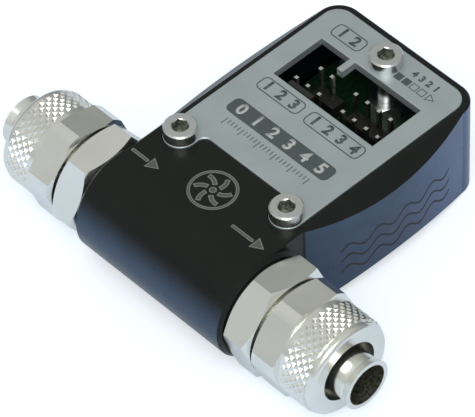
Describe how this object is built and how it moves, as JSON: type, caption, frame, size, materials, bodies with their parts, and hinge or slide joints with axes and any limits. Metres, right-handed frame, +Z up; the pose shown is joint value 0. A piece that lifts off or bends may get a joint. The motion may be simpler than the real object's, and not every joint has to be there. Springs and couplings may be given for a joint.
{
  "type": "turbine flow meter",
  "caption": "In-line turbine flow meter with a round measuring tube, a flat electronics housing with a pin-header window, and knurled hose unions.",
  "frame": {"origin": "on the surface that the meter rests on, midway between its two sides and midway between the front of the tube and the back of the housing", "axes": "+X along the flow from inlet to outlet, +Y from the tube to the back of the housing, +Z up"},
  "size_m": [0.0768, 0.0573, 0.0213],
  "materials": {
    "body": "black anodised, satin",
    "plate": "satin anodised, printed",
    "steel": "bright zinc-plated",
    "board": "green solder mask",
    "black_plastic": "black moulded",
    "ceramic": "ceramic capacitor brown",
    "white_plastic": "natural acetal",
    "magnet": "nickel-plated magnet",
    "bearing": "brown bearing plastic",
    "rubber": "black seal rubber",
    "nickel": "brass with bright nickel plating",
    "nickel_nut": "brass with bright nickel plating, knurled",
    "pins": "tin-plated square pins"
  },
  "bodies": {
    "meter_body": {"flow_body": "body", "label_plate": "plate", "front_screws": "steel", "back_screw": "steel", "board_nut": "steel", "board_screws": "steel", "circuit_board": "board", "processor_chip": "black_plastic", "hall_sensor": "black_plastic", "board_capacitors": "ceramic", "outlet_support": "white_plastic", "inlet_support": "white_plastic", "outlet_bearing": "bearing", "inlet_bearing": "bearing", "outlet_retaining_ring": "steel", "inlet_retaining_ring": "steel", "outlet_seal": "rubber", "inlet_seal": "rubber", "outlet_fitting": "nickel", "inlet_fitting": "nickel", "alarm_header": "black_plastic", "bus_header": "black_plastic", "temp_header": "black_plastic", "usb_header": "black_plastic", "alarm_pins": "pins", "bus_pins": "pins", "temp_pins": "pins", "usb_pins": "pins"},
    "rotor": {"turbine_rotor": "white_plastic", "rotor_magnets": "magnet", "rotor_shaft": "steel"},
    "inlet_union": {"inlet_nut": "nickel_nut"},
    "outlet_union": {"outlet_nut": "nickel_nut"}
  },
  "joints": [
    {"name": "rotor_spin", "type": "hinge", "parent": "meter_body", "child": "rotor", "pos_m": [0, -0.019, 0.0095], "axis": [1, 0, 0], "continuous": true},
    {"name": "inlet_nut_turn", "type": "hinge", "parent": "meter_body", "child": "inlet_union", "pos_m": [-0.0248, -0.019, 0.0095], "axis": [-1, 0, 0], "range_deg": [0, 1710]},
    {"name": "outlet_nut_turn", "type": "hinge", "parent": "meter_body", "child": "outlet_union", "pos_m": [0.0248, -0.019, 0.0095], "axis": [1, 0, 0], "range_deg": [0, 1710]}
  ]
}
